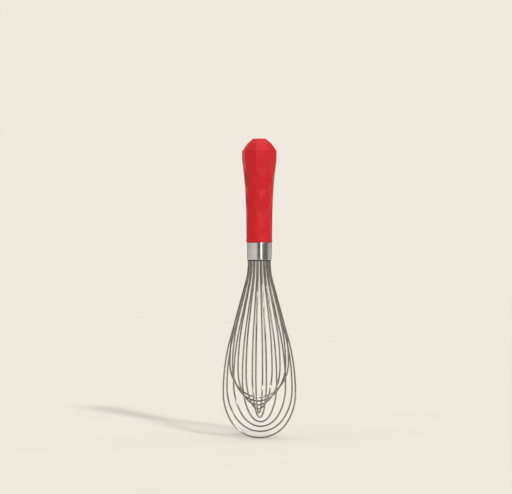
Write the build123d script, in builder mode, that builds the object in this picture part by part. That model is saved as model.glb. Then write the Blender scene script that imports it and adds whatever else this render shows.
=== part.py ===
from build123d import *
import math
import os

# Balloon whisk with a faceted silicone handle, in millimetres.
# The whisk stands upright on +Z with the handle up. The origin is the lowest point of the wires,
# on the axis, and the front is -Y.

os.makedirs("parts", exist_ok=True)

# ---- driving dimensions ----
LENGTH = 284.5              # lowest wire to the flat end of the handle
MOUTH_Z = 169.6             # rim of the ferrule, where the wires come out
GRIP_Z = 186.2              # lower end of the grip, on the ferrule's shoulder

WIRE_D = 1.5
RING_R = 10.3               # circle on which the wire ends stand in the ferrule
LOOP_COUNT = 10
# The longest loop's plane is turned by a third of a step from facing the front, so that the far
# wires show beside the near ones, and gaps stay open at the neck.
FIRST_TURN_STEPS = -1 / 3
NEST_DEPTH = 38.5           # the shortest loop's tip is this far above the longest one's
NEST_POWER = 0.85           # below 1, so the tips stand closer together upwards
HALF_WIDTHS = (34.5, 28.5)  # widest half width of the longest and of the shortest loop
WIDEST_AT = 0.75            # how far down a loop, from seal to tip, it is widest
TIP_R_SHARE = 0.91          # radius of the rounded tip over the half width
FLARE_SHARE = 0.32          # share of the upper bend that is spent at the seal

FERRULE_D = 23.9
FERRULE_WALL = 0.7
NECK_D = 17.2               # the ferrule's neck, inside the grip
NECK_TOP_Z = 204.0
SEAL_LIP = 1.1              # the potting stands this far out of the mouth
SEAL_T = 4.5

CORE_TOP_Z = 276.0
CORE_RIB_R = 9.9
CORE_RIB_T = 3.0
CORE_RIBS_Z = [216.0, 234.0, 252.0]

SIDES = 8                   # facets round the grip
FACET_TURN = -11.5          # angle of the first edge of the facets
CAP_R = 6.3
DOME_RINGS = [(280.0, 11.8), (272.9, 16.8), (264.7, 16.7)]  # height and corner radius
SHOULDER_Z = 256.5
SHOULDER_R = 15.7
WAIST_R = 12.2
WAIST_DECAY = 23.0          # how fast the grip narrows below the shoulder
BANDS = 4                   # rows of triangles between the shoulder and the collar
BAND_H = 10.3
COLLAR_Z = 195.0            # below this height the grip is round
COLLAR_R = 12.2
LIP_R = 12.5
LIP_H = 7.4

# ---- worked-out dimensions ----
FERRULE_R = FERRULE_D / 2
BORE_R = FERRULE_R - FERRULE_WALL
NECK_R = NECK_D / 2
NECK_BORE_R = NECK_R - FERRULE_WALL
HUB_TOP_Z = GRIP_Z - FERRULE_WALL
SEAL_Z = MOUTH_Z - SEAL_LIP
HUB_Z = SEAL_Z + SEAL_T
WIRE_ENDS = 2 * LOOP_COUNT
TURN_STEP = 360 / WIRE_ENDS  # degrees: the wire ends stand evenly round the mouth
FIRST_TURN = FIRST_TURN_STEPS * TURN_STEP


def ring(z, radius, turn, count):
    """Corners of a regular ring, counter-clockwise from above."""
    angles = [math.radians(turn + 360 / count * k) for k in range(count)]
    return [Vector(radius * math.cos(a), radius * math.sin(a), z) for a in angles]


def facet(*corners):
    return Face(Wire.make_polygon(corners, close=True))


def straight_band(upper, lower):
    """Flat four-sided facets between two rings with the same turn."""
    count = len(upper)
    steps = [(k, (k + 1) % count) for k in range(count)]
    return [facet(upper[k], lower[k], lower[n], upper[n]) for k, n in steps]


def diamond_band(upper, lower):
    """Triangles between two rings, the lower one turned by half a facet."""
    faces = []
    count = len(upper)
    for k in range(count):
        n = (k + 1) % count
        faces.append(facet(upper[k], lower[k], upper[n]))
        faces.append(facet(upper[n], lower[k], lower[n]))
    return faces


def fan_band(upper, lower):
    """Triangles from a ring to one with twice as many corners."""
    faces = []
    count = len(upper)
    for k in range(count):
        n = (k + 1) % count
        faces.append(facet(upper[k], lower[2 * k], lower[2 * k + 1]))
        faces.append(facet(upper[k], lower[2 * k + 1], upper[n]))
        faces.append(facet(upper[n], lower[2 * k + 1], lower[(2 * k + 2) % (2 * count)]))
    return faces


def faceted_body():
    """The cut-gem part of the grip, from its flat end down to the round collar."""
    rings = [ring(LENGTH, CAP_R, FACET_TURN, SIDES)]
    rings += [ring(z, radius, FACET_TURN, SIDES) for z, radius in DOME_RINGS]
    rings.append(ring(SHOULDER_Z, SHOULDER_R, FACET_TURN, SIDES))
    faces = [facet(*rings[0])]
    for upper, lower in zip(rings, rings[1:]):
        faces += straight_band(upper, lower)
    upper = rings[-1]
    turn = FACET_TURN
    for band in range(1, BANDS + 1):
        drop = band * BAND_H
        radius = WAIST_R + (SHOULDER_R - WAIST_R) * math.exp(-drop / WAIST_DECAY)
        turn += 180 / SIDES
        lower = ring(SHOULDER_Z - drop, radius, turn, SIDES)
        faces += diamond_band(upper, lower)
        upper = lower
    collar = ring(COLLAR_Z, COLLAR_R / math.cos(math.pi / SIDES / 2), turn, 2 * SIDES)
    faces += fan_band(upper, collar)
    faces.append(facet(*reversed(collar)))
    return Solid(Shell(faces))


# ---- handle core: a moulded rod whose ribs hold the silicone and whose foot fills the neck ----
with BuildPart() as handle_core:
    with BuildSketch(Plane.XY.offset(HUB_TOP_Z)):
        Circle(NECK_BORE_R)
    extrude(amount=NECK_TOP_Z - HUB_TOP_Z)
    with BuildSketch(Plane.XY.offset(NECK_TOP_Z)):
        Circle(NECK_R)
    extrude(amount=CORE_TOP_Z - NECK_TOP_Z)
    fillet(handle_core.edges().group_by(Axis.Z)[-1], NECK_R * 0.7)
    for rib_z in CORE_RIBS_Z:
        with BuildSketch(Plane.XY.offset(rib_z)):
            Circle(CORE_RIB_R)
        extrude(amount=CORE_RIB_T)
handle_core.part.label = "handle_core"
export_step(handle_core.part, "parts/handle_core.step")

# ---- ferrule: a drawn steel collar with a narrower neck that the grip covers ----
with BuildPart() as ferrule:
    with BuildSketch(Plane.XY.offset(MOUTH_Z)):
        Circle(FERRULE_R)
    extrude(amount=GRIP_Z - MOUTH_Z)
    fillet(ferrule.edges().group_by(Axis.Z)[-1], FERRULE_WALL)
    with BuildSketch(Plane.XY.offset(GRIP_Z)):
        Circle(NECK_R)
    extrude(amount=NECK_TOP_Z - GRIP_Z)
    with BuildSketch(Plane.XY.offset(MOUTH_Z)):
        Circle(BORE_R)
    extrude(amount=HUB_TOP_Z - MOUTH_Z, mode=Mode.SUBTRACT)
    with BuildSketch(Plane.XY.offset(HUB_TOP_Z)):
        Circle(NECK_BORE_R)
    extrude(amount=NECK_TOP_Z - HUB_TOP_Z, mode=Mode.SUBTRACT)
    fillet(ferrule.edges().group_by(Axis.Z)[0], FERRULE_WALL * 0.45)
ferrule.part.label = "ferrule"
export_step(ferrule.part, "parts/ferrule.step")

# ---- grip: the silicone sleeve, faceted above and round at its lower end ----
gem = faceted_body()
with BuildPart() as grip:
    add(gem)
    with BuildSketch(Plane.XZ):
        with BuildLine():
            Polyline((0, COLLAR_Z), (0, GRIP_Z), (LIP_R, GRIP_Z))
            Bezier((LIP_R, GRIP_Z), (COLLAR_R, GRIP_Z + LIP_H / 2), (COLLAR_R, GRIP_Z + LIP_H))
            Polyline((COLLAR_R, GRIP_Z + LIP_H), (COLLAR_R, COLLAR_Z), (0, COLLAR_Z))
        make_face()
    revolve(axis=Axis.Z)
    fillet(grip.edges().group_by(Axis.Z)[0], 0.5)
    add(handle_core.part, mode=Mode.SUBTRACT)
    with BuildSketch(Plane.XY.offset(GRIP_Z)):
        Circle(NECK_R)
    extrude(amount=NECK_TOP_Z - GRIP_Z, mode=Mode.SUBTRACT)
grip.part.label = "grip"
export_step(grip.part, "parts/grip.step")

# ---- wire hub: a moulded plug with a groove for every wire end ----
with BuildPart() as wire_hub:
    with BuildSketch(Plane.XY.offset(HUB_Z)):
        Circle(BORE_R)
        with PolarLocations(RING_R + WIRE_D, WIRE_ENDS, start_angle=FIRST_TURN):
            SlotCenterToCenter(2 * WIRE_D, WIRE_D, mode=Mode.SUBTRACT)
    extrude(amount=HUB_TOP_Z - HUB_Z)
wire_hub.part.label = "wire_hub"
export_step(wire_hub.part, "parts/wire_hub.step")

# ---- mouth seal: the dark potting that closes the mouth round the wires and stands out of it ----
with BuildPart() as mouth_seal:
    with BuildSketch(Plane.XY.offset(SEAL_Z)):
        Circle(BORE_R)
        with PolarLocations(RING_R, WIRE_ENDS, start_angle=FIRST_TURN):
            Circle(WIRE_D / 2, mode=Mode.SUBTRACT)
    extrude(amount=SEAL_T)
mouth_seal.part.label = "mouth_seal"
export_step(mouth_seal.part, "parts/mouth_seal.step")


# ---- wire loops: each is one wire, bent in a plane through the axis ----
def loop_bends(tip_z, half_width):
    """Radii, turns in degrees and the straight run of half a loop, from the seal to the tip."""
    height = SEAL_Z - tip_z
    rise = WIDEST_AT * height
    spread = half_width - RING_R
    # From the seal to the widest point: an outward arc, a straight run and an inward arc.
    flare = math.atan(1.5 * spread / rise)
    bend = (rise * math.sin(flare) - spread * math.cos(flare)) / (1 - math.cos(flare))
    run = (spread - bend * (1 - math.cos(flare))) / math.sin(flare)
    # From the widest point to the tip: a shoulder arc that runs into the rounded tip.
    tip_r = TIP_R_SHARE * half_width
    gap = half_width - tip_r
    drop = height - rise - tip_r
    shoulder_r = tip_r + (drop * drop + gap * gap) / (2 * gap)
    shoulder = math.asin(drop / (shoulder_r - tip_r))
    mouth_r = FLARE_SHARE * bend
    return mouth_r, bend - mouth_r, math.degrees(flare), run, shoulder_r, math.degrees(shoulder), tip_r


for index in range(LOOP_COUNT):
    share = index / (LOOP_COUNT - 1)
    tip_z = WIRE_D / 2 + NEST_DEPTH * share**NEST_POWER
    half_width = HALF_WIDTHS[0] + (HALF_WIDTHS[1] - HALF_WIDTHS[0]) * share
    mouth_r, flank_r, flare, run, shoulder_r, shoulder, tip_r = loop_bends(tip_z, half_width)
    turn = math.radians(FIRST_TURN - TURN_STEP * index)
    across = Vector(math.cos(turn), math.sin(turn), 0)
    with BuildPart() as wire_loop:
        with BuildLine(Plane(origin=(0, 0, 0), x_dir=across, z_dir=across.cross(Vector(0, 0, 1)))):
            leg = Line((RING_R, HUB_TOP_Z), (RING_R, SEAL_Z))
            out = JernArc(leg @ 1, leg % 1, mouth_r, flare)
            slope = Line(out @ 1, out @ 1 + (out % 1) * run)
            flank = JernArc(slope @ 1, slope % 1, flank_r, -flare)
            corner = JernArc(flank @ 1, flank % 1, shoulder_r, -shoulder)
            bottom = JernArc(corner @ 1, corner % 1, tip_r, 2 * shoulder - 180)
            far_corner = JernArc(bottom @ 1, bottom % 1, shoulder_r, -shoulder)
            far_flank = JernArc(far_corner @ 1, far_corner % 1, flank_r, -flare)
            far_slope = Line(far_flank @ 1, far_flank @ 1 + (far_flank % 1) * run)
            far_out = JernArc(far_slope @ 1, far_slope % 1, mouth_r, flare)
            Line(far_out @ 1, (-RING_R, HUB_TOP_Z))
        with BuildSketch(Plane(origin=leg @ 0, z_dir=leg % 0)):
            Circle(WIRE_D / 2)
        sweep()
    wire_loop.part.label = f"wire_loop_{index + 1:02d}"
    export_step(wire_loop.part, f"parts/{wire_loop.part.label}.step")
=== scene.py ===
import math

import bmesh
import bpy
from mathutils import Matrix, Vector


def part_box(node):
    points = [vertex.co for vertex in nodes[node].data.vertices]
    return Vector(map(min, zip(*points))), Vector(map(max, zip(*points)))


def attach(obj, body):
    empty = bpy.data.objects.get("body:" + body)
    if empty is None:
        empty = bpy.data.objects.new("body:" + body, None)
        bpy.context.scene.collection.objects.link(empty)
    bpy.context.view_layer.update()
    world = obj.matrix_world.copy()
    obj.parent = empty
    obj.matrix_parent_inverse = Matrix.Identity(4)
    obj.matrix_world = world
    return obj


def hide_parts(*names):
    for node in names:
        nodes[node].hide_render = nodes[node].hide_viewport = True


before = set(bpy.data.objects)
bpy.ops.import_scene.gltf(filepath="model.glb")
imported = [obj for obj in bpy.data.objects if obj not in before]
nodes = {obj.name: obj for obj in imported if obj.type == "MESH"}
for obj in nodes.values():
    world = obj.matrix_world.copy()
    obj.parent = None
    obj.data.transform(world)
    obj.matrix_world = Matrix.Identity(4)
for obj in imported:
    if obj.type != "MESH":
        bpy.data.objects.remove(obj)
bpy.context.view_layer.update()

# Sizes in metres. The whisk stands upright on the lowest wire, its axis on Z and its front to -Y.
MM = 0.001
GRIP_LOW, GRIP_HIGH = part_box("grip")
WIRE_NAMES = sorted(name for name in nodes if name.startswith("wire_loop_"))

# ---- camera ----
CAMERA_DISTANCE = 1.8
CAMERA_HEIGHT = 0.18175
CAMERA_SIDE = -0.0031
VIEW_WIDTH = 0.4864         # what the frame spans across, at the axis
SENSOR_WIDTH = 36.0
CLIP_START = 0.01

# ---- floor and light ----
FLOOR_REACH = 20.0          # to the sides and the back
FLOOR_FRONT = 0.9           # the room in front of the floor's edge is dark, for the steel to mirror
FLOOR_COLOUR = (0.783, 0.756, 0.715)
FLOOR_MOTTLE = 1.02         # how much lighter the floor's light patches are
WALL_COLOUR = (0.871, 0.815, 0.730)
KEY_FROM = Vector((0.38, -0.73, 0.57))
KEY_SPREAD = 6.0            # degrees
KEY_STRENGTH = 1.86
KEY_COLOUR = (1.0, 0.96, 0.90)
# Brightness of the room round the whisk, by the direction in degrees to the right of the viewer.
ROOM_TINT = (1.0, 0.97, 0.92)
ROOM_LEVELS = [(-180, 0.16), (-172, 0.14), (-168, 2.6), (-160, 2.6), (-156, 0.20), (-128, 0.26),
               (-120, 0.62), (-100, 0.55), (-72, 0.80), (-22, 0.92), (-15, 0.15), (12.5, 0.10),
               (16.5, 4.4), (19.5, 4.4), (24, 0.34), (48, 0.19), (80, 0.16), (92, 0.46),
               (128, 0.62), (140, 0.60), (146, 0.18), (180, 0.16)]
# Above the room it is dimmer, up to a soft light overhead: the sine of the height, and brightness.
ROOM_TOP = (0.22, 0.42)
CEILING_LEVELS = [(0.40, 0.28), (0.75, 0.52), (0.95, 1.60)]

# ---- soft grip ----
WELD = 0.01 * MM
FLAT_ANGLE = math.radians(1.0)      # faces that meet at less than this become one
COLLAR_HEIGHT = 8.8 * MM            # the round collar below the facets
EDGE_MARGIN = MM                    # the slack in height at the collar's top and at the flat end
# Edges that come nearer the axis than this are left as they are, unless they are at the flat end.
# They are those of the bore, and also the creases that run up to the flat end.
SKIN_RADIUS = 10.5 * MM
CREASE_ANGLE = math.radians(3.0)
CREASE_WIDTH = 0.9 * MM
CREASE_SEGMENTS = 4

# ---- materials ----
EVEN = (1.0, 1.0, 1.0)
NOISE_ROUGHNESS = 0.55
NOISE_SPAN = (0.3, 0.7)     # the part of the noise that is spread over a range of values
DARK_SPREAD = 0.06          # how far the roughness of a dark piece goes either way


class Nodes:
    """A small helper that adds and joins shader nodes in one node tree."""

    def __init__(self, tree):
        self.tree = tree
        self.tree.nodes.clear()

    def add(self, kind, **settings):
        node = self.tree.nodes.new(kind)
        for name, value in settings.items():
            setattr(node, name, value)
        return node

    def join(self, source, target):
        self.tree.links.new(source, target)

    def ramp(self, source, stops):
        """A colour ramp through (place, colour) stops."""
        node = self.add("ShaderNodeValToRGB")
        node.color_ramp.elements[0].position, node.color_ramp.elements[0].color = stops[0]
        node.color_ramp.elements[1].position, node.color_ramp.elements[1].color = stops[-1]
        for place, colour in stops[1:-1]:
            node.color_ramp.elements.new(place).color = colour
        self.join(source, node.inputs["Fac"])
        return node.outputs["Color"]

    def span(self, source, low, high, to_low, to_high):
        node = self.add("ShaderNodeMapRange")
        for name, value in zip(("From Min", "From Max", "To Min", "To Max"), (low, high, to_low, to_high)):
            node.inputs[name].default_value = value
        self.join(source, node.inputs["Value"])
        return node.outputs["Result"]

    def noise(self, vector, scale, detail):
        node = self.add("ShaderNodeTexNoise")
        node.inputs["Scale"].default_value = scale
        node.inputs["Detail"].default_value = detail
        node.inputs["Roughness"].default_value = NOISE_ROUGHNESS
        self.join(vector, node.inputs["Vector"])
        return node.outputs["Fac"]

    def stretched(self, scale):
        """Object coordinates multiplied by a scale for each axis."""
        place = self.add("ShaderNodeTexCoord")
        node = self.add("ShaderNodeMapping")
        node.inputs["Scale"].default_value = scale
        self.join(place.outputs["Object"], node.inputs["Vector"])
        return node.outputs["Vector"]

    def bump(self, height, strength, distance):
        node = self.add("ShaderNodeBump")
        node.inputs["Strength"].default_value = strength
        node.inputs["Distance"].default_value = distance
        self.join(height, node.inputs["Height"])
        return node.outputs["Normal"]


def add_object(name, data):
    thing = bpy.data.objects.new(name, data)
    bpy.context.scene.collection.objects.link(thing)
    return thing


def tinted(level):
    """A brightness of the room as a colour."""
    return (*(level * c for c in ROOM_TINT), 1)


def new_material(name):
    material = bpy.data.materials.new(name)
    material.use_nodes = True
    return material, Nodes(material.node_tree)


def surface(nodes_of, **sockets):
    """A Principled shader with plain values on its sockets, joined to the output."""
    shader = nodes_of.add("ShaderNodeBsdfPrincipled")
    for name, value in sockets.items():
        shader.inputs[name.replace("_", " ")].default_value = value
    output = nodes_of.add("ShaderNodeOutputMaterial")
    nodes_of.join(shader.outputs["BSDF"], output.inputs["Surface"])
    return shader


def silicone_material():
    """Matt red silicone: fine grain, a faint cloudy tone and a soft gloss."""
    material, n = new_material("grip_silicone")
    shader = surface(n, IOR=1.41, Specular_IOR_Level=0.35)
    even = n.stretched(EVEN)
    clouds = n.noise(even, scale=90.0, detail=3.0)
    tone = n.ramp(clouds, [(0.35, (0.520, 0.0060, 0.0140, 1)), (0.65, (0.570, 0.0090, 0.0185, 1))])
    n.join(tone, shader.inputs["Base Color"])
    grain = n.noise(even, scale=2600.0, detail=2.0)
    n.join(n.span(grain, *NOISE_SPAN, 0.44, 0.54), shader.inputs["Roughness"])
    n.join(n.bump(grain, strength=0.25, distance=0.04 * MM), shader.inputs["Normal"])
    return material


def ferrule_material():
    """Polished stainless steel with faint lines turned round the axis."""
    material, n = new_material("ferrule_steel")
    shader = surface(n, Metallic=1.0, Anisotropic=0.7)
    tangent = n.add("ShaderNodeTangent", direction_type="RADIAL", axis="Z")
    n.join(tangent.outputs["Tangent"], shader.inputs["Tangent"])
    lines = n.noise(n.stretched((25.0, 25.0, 3000.0)), scale=1.0, detail=4.0)
    tone = n.ramp(lines, [(0.3, (0.58, 0.565, 0.545, 1)), (0.7, (0.66, 0.645, 0.625, 1))])
    n.join(tone, shader.inputs["Base Color"])
    n.join(n.span(lines, *NOISE_SPAN, 0.13, 0.19), shader.inputs["Roughness"])
    n.join(n.bump(lines, strength=0.06, distance=0.01 * MM), shader.inputs["Normal"])
    return material


def wire_material():
    """Drawn stainless wire: softly polished, with faint draw marks. Its dark base colour is painted shade:
    darker than bright steel throughout, with random patches.
    """
    material, n = new_material("wire_steel")
    shader = surface(n, Metallic=1.0)
    patches = n.noise(n.stretched(EVEN), scale=220.0, detail=4.0)
    # Painted shade: these dark tones stand in for the shade and dark reflections on the wires.
    tone = n.ramp(patches, [(0.3, (0.25, 0.235, 0.215, 1)), (0.7, (0.38, 0.36, 0.335, 1))])
    n.join(tone, shader.inputs["Base Color"])
    n.join(n.span(patches, *NOISE_SPAN, 0.16, 0.26), shader.inputs["Roughness"])
    marks = n.noise(n.stretched((5200.0, 5200.0, 500.0)), scale=1.0, detail=2.0)
    n.join(n.bump(marks, strength=0.12, distance=0.02 * MM), shader.inputs["Normal"])
    return material


def dark_material(name, low, high, roughness):
    """A plain dark moulding or casting, with a fine mottle."""
    material, n = new_material(name)
    shader = surface(n)
    mottle = n.noise(n.stretched(EVEN), scale=700.0, detail=3.0)
    n.join(n.ramp(mottle, [(0.3, (*low, 1)), (0.7, (*high, 1))]), shader.inputs["Base Color"])
    rough = n.span(mottle, *NOISE_SPAN, roughness - DARK_SPREAD, roughness + DARK_SPREAD)
    n.join(rough, shader.inputs["Roughness"])
    n.join(n.bump(mottle, strength=0.2, distance=0.08 * MM), shader.inputs["Normal"])
    return material


def dress(name, material):
    """Put a material in a CAD node's slots and smooth its shading."""
    node = nodes[name]
    for slot in node.material_slots:
        slot.material = material
    node.data.shade_smooth()


def is_crease(edge):
    """Whether an edge above the collar is a crease to round; SKIN_RADIUS leaves some out."""
    if len(edge.link_faces) != 2:
        return False
    low = min(v.co.z for v in edge.verts)
    near = min(v.co.xy.length for v in edge.verts)
    above = low > GRIP_LOW.z + COLLAR_HEIGHT - EDGE_MARGIN
    taken = near > SKIN_RADIUS or low > GRIP_HIGH.z - EDGE_MARGIN
    return above and taken and edge.calc_face_angle() > CREASE_ANGLE


def soft_grip(material):
    """The grip again, with creases between its facets rounded as moulded silicone is."""
    mesh = nodes["grip"].data.copy()
    form = bmesh.new()
    form.from_mesh(mesh)
    bmesh.ops.remove_doubles(form, verts=form.verts, dist=WELD)
    bmesh.ops.dissolve_limit(form, angle_limit=FLAT_ANGLE, verts=form.verts, edges=form.edges)
    creases = [edge for edge in form.edges if is_crease(edge)]
    bmesh.ops.bevel(form, geom=creases, offset=CREASE_WIDTH, segments=CREASE_SEGMENTS, profile=0.5,
                    affect="EDGES", clamp_overlap=True)
    form.to_mesh(mesh)
    form.free()
    mesh.shade_smooth()
    mesh.materials.clear()
    mesh.materials.append(material)
    grip = add_object("grip_soft", mesh)
    # The large faces decide the shading, so that a facet between rounded creases looks flat.
    flatten = grip.modifiers.new("flat_facets", "WEIGHTED_NORMAL")
    flatten.mode = "FACE_AREA"
    flatten.weight = 100
    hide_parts("grip")
    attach(grip, "root")


def floor_material():
    material, n = new_material("floor")
    shader = surface(n, Roughness=1.0, Specular_IOR_Level=0.0)
    mottle = n.noise(n.stretched(EVEN), scale=6.0, detail=3.0)
    light = tuple(c * FLOOR_MOTTLE for c in FLOOR_COLOUR)
    n.join(n.ramp(mottle, [(0.3, (*FLOOR_COLOUR, 1)), (0.7, (*light, 1))]), shader.inputs["Base Color"])
    return material


def add_floor():
    mesh = bpy.data.meshes.new("floor")
    far = FLOOR_REACH
    corners = [(-far, -FLOOR_FRONT, 0), (far, -FLOOR_FRONT, 0), (far, far, 0), (-far, far, 0)]
    mesh.from_pydata(corners, [], [(0, 1, 2, 3)])
    mesh.materials.append(floor_material())
    add_object("floor", mesh)


def aim(thing, place, target):
    """Stand a light at a place and point it at a target."""
    thing.location = place
    thing.rotation_euler = (target - place).to_track_quat("-Z", "Y").to_euler()


def add_key():
    """A sun-like light from the upper right in front."""
    data = bpy.data.lights.new("key", "SUN")
    data.angle = math.radians(KEY_SPREAD)
    data.energy = KEY_STRENGTH
    data.color = KEY_COLOUR
    aim(add_object("key", data), KEY_FROM, Vector((0, 0, 0)))


def add_world():
    """A pale backdrop for the camera, and for light and gloss a room that is darker in front."""
    world = bpy.data.worlds.new("studio")
    world.use_nodes = True
    bpy.context.scene.world = world
    n = Nodes(world.node_tree)

    def background(colour):
        node = n.add("ShaderNodeBackground")
        node.inputs["Color"].default_value = (*colour, 1)
        return node

    def blend(share, first, second):
        node = n.add("ShaderNodeMixShader")
        n.join(share, node.inputs["Fac"])
        n.join(first, node.inputs[1])
        n.join(second, node.inputs[2])
        return node.outputs["Shader"]

    place = n.add("ShaderNodeTexCoord")
    direction = n.add("ShaderNodeSeparateXYZ")
    n.join(place.outputs["Generated"], direction.inputs["Vector"])
    toward = n.add("ShaderNodeMath", operation="MULTIPLY")
    toward.inputs[1].default_value = -1.0
    n.join(direction.outputs["Y"], toward.inputs[0])
    turn = n.add("ShaderNodeMath", operation="ARCTAN2")
    n.join(direction.outputs["X"], turn.inputs[0])
    n.join(toward.outputs["Value"], turn.inputs[1])
    share = n.span(turn.outputs["Value"], -math.pi, math.pi, 0.0, 1.0)
    stops = [((angle + 180) / 360, tinted(level)) for angle, level in ROOM_LEVELS]
    room = background((0, 0, 0))
    n.join(n.ramp(share, stops), room.inputs["Color"])
    ceiling = background((0, 0, 0))
    stops = [(height, tinted(level)) for height, level in CEILING_LEVELS]
    n.join(n.ramp(direction.outputs["Z"], stops), ceiling.inputs["Color"])
    rise = n.span(direction.outputs["Z"], *ROOM_TOP, 0.0, 1.0)
    light = blend(rise, room.outputs["Background"], ceiling.outputs["Background"])
    rays = n.add("ShaderNodeLightPath")
    seen = background(WALL_COLOUR)
    output = n.add("ShaderNodeOutputWorld")
    world_shader = blend(rays.outputs["Is Camera Ray"], light, seen.outputs["Background"])
    n.join(world_shader, output.inputs["Surface"])


def add_camera():
    data = bpy.data.cameras.new("camera")
    data.sensor_fit = "HORIZONTAL"
    data.sensor_width = SENSOR_WIDTH
    data.lens = SENSOR_WIDTH * CAMERA_DISTANCE / VIEW_WIDTH
    data.clip_start = CLIP_START
    camera = add_object("camera", data)
    camera.location = (CAMERA_SIDE, -CAMERA_DISTANCE, CAMERA_HEIGHT)
    camera.rotation_euler = (math.radians(90), 0, 0)
    bpy.context.scene.camera = camera


bpy.context.scene.view_settings.view_transform = "Standard"

wires = wire_material()
for wire_name in WIRE_NAMES:
    dress(wire_name, wires)
dress("ferrule", ferrule_material())
dress("mouth_seal", dark_material("seal_resin", (0.020, 0.020, 0.022), (0.035, 0.034, 0.036), 0.45))
dress("wire_hub", dark_material("hub_plastic", (0.060, 0.060, 0.065), (0.080, 0.080, 0.085), 0.5))
dress("handle_core", dark_material("core_plastic", (0.040, 0.040, 0.045), (0.060, 0.060, 0.065), 0.5))
soft_grip(silicone_material())

add_floor()
add_world()
add_key()
add_camera()
